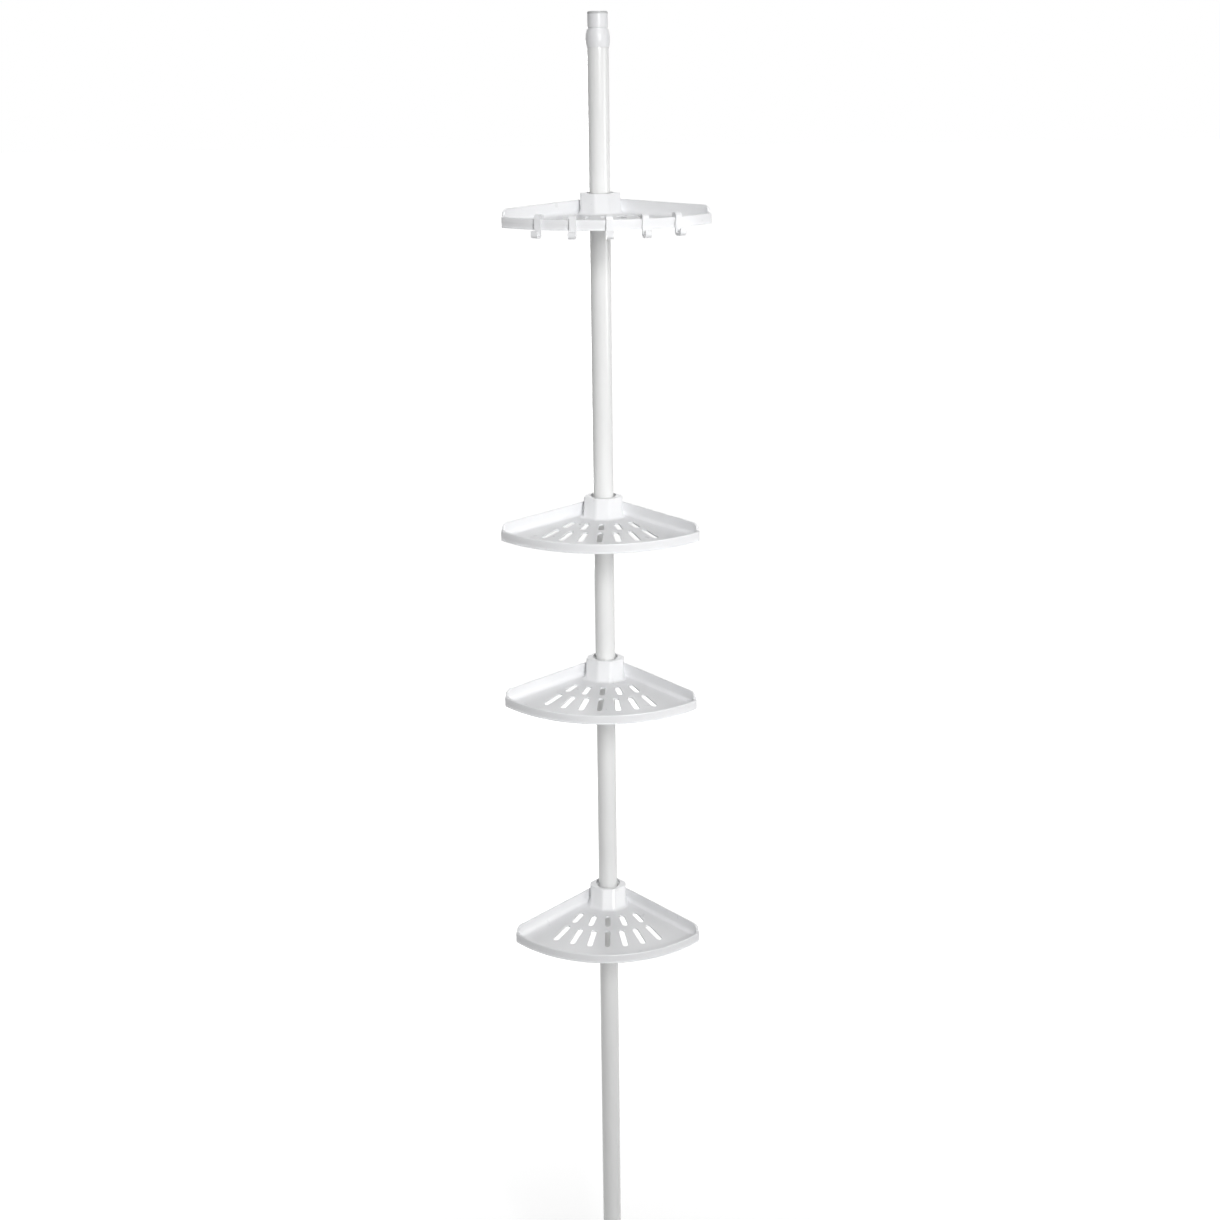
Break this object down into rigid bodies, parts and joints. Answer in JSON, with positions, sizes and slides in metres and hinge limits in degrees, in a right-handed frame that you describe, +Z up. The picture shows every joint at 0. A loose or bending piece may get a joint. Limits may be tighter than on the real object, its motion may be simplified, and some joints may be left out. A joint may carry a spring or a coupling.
{
  "type": "tension pole shelf unit",
  "caption": "Floor-to-ceiling tension pole with a sprung head and a twist-lock telescopic foot, carrying quarter-round corner trays that slide and turn on wedge sleeves, and clip-on hooks.",
  "frame": {"origin": "on the pole's axis at the underside of the foot", "axes": "+Z up along the pole, -Y out of the corner towards the open fronts of the trays, +X to the right when facing them"},
  "size_m": [0.2677, 0.1921, 2.05],
  "materials": {
    "white_coated_tube": "white gloss coat on steel tube",
    "white_gloss_plastic": "white moulded plastic with a soft gloss",
    "white_matte_plastic": "white moulded plastic, plain",
    "grey_rubber": "light grey soft rubber",
    "spring_steel": "bright spring wire"
  },
  "bodies": {
    "leg": {"foot_pad": "grey_rubber", "foot_plug": "white_matte_plastic", "leg_tube": "white_coated_tube", "leg_guide": "white_matte_plastic"},
    "pole": {"lower_tube": "white_coated_tube", "middle_tube": "white_coated_tube", "top_tube": "white_coated_tube", "lower_coupler": "white_matte_plastic", "upper_coupler": "white_matte_plastic", "top_collar": "white_gloss_plastic", "spring_seat": "white_matte_plastic", "tension_spring": "spring_steel", "lock_collet": "white_gloss_plastic"},
    "lock": {"lock_nut": "white_gloss_plastic"},
    "head": {"head_plunger": "white_gloss_plastic", "head_pad": "grey_rubber"},
    "carrier_1": {"sleeve_1_front": "white_matte_plastic", "sleeve_1_back": "white_matte_plastic"},
    "tray_1": {"tray_1": "white_gloss_plastic", "hook_1": "white_gloss_plastic", "hook_2": "white_gloss_plastic", "hook_3": "white_gloss_plastic", "hook_4": "white_gloss_plastic", "hook_5": "white_gloss_plastic"},
    "carrier_2": {"sleeve_2_front": "white_matte_plastic", "sleeve_2_back": "white_matte_plastic"},
    "tray_2": {"tray_2": "white_gloss_plastic"},
    "carrier_3": {"sleeve_3_front": "white_matte_plastic", "sleeve_3_back": "white_matte_plastic"},
    "tray_3": {"tray_3": "white_gloss_plastic"},
    "carrier_4": {"sleeve_4_front": "white_matte_plastic", "sleeve_4_back": "white_matte_plastic"},
    "tray_4": {"tray_4": "white_gloss_plastic"}
  },
  "joints": [
    {"name": "height_slide", "type": "slide", "parent": "leg", "child": "pole", "axis": [0, 0, 1], "range_m": [-0.16, 0.2]},
    {"name": "lock_turn", "type": "hinge", "parent": "pole", "child": "lock", "pos_m": [0, 0, 0.205], "axis": [0, 0, 1], "range_deg": [0, 90]},
    {"name": "head_press", "type": "slide", "parent": "pole", "child": "head", "axis": [0, 0, 1], "range_m": [-0.018, 0], "stiffness_N_per_m": 4000, "springref_m": 0.01, "deforming": ["tension_spring"]},
    {"name": "tray_1_height", "type": "slide", "parent": "pole", "child": "carrier_1", "axis": [0, 0, 1], "range_m": [-0.15, 0.15]},
    {"name": "tray_1_turn", "type": "hinge", "parent": "carrier_1", "child": "tray_1", "pos_m": [0, 0, 1.81525], "axis": [0, 0, 1], "continuous": true},
    {"name": "tray_2_height", "type": "slide", "parent": "pole", "child": "carrier_2", "axis": [0, 0, 1], "range_m": [-0.08, 0.15]},
    {"name": "tray_2_turn", "type": "hinge", "parent": "carrier_2", "child": "tray_2", "pos_m": [0, 0, 1.41825], "axis": [0, 0, 1], "continuous": true},
    {"name": "tray_3_height", "type": "slide", "parent": "pole", "child": "carrier_3", "axis": [0, 0, 1], "range_m": [-0.14, 0.06]},
    {"name": "tray_3_turn", "type": "hinge", "parent": "carrier_3", "child": "tray_3", "pos_m": [0, 0, 1.18725], "axis": [0, 0, 1], "continuous": true},
    {"name": "tray_4_height", "type": "slide", "parent": "pole", "child": "carrier_4", "axis": [0, 0, 1], "range_m": [-0.3, 0.12]},
    {"name": "tray_4_turn", "type": "hinge", "parent": "carrier_4", "child": "tray_4", "pos_m": [0, 0, 0.83625], "axis": [0, 0, 1], "continuous": true}
  ]
}
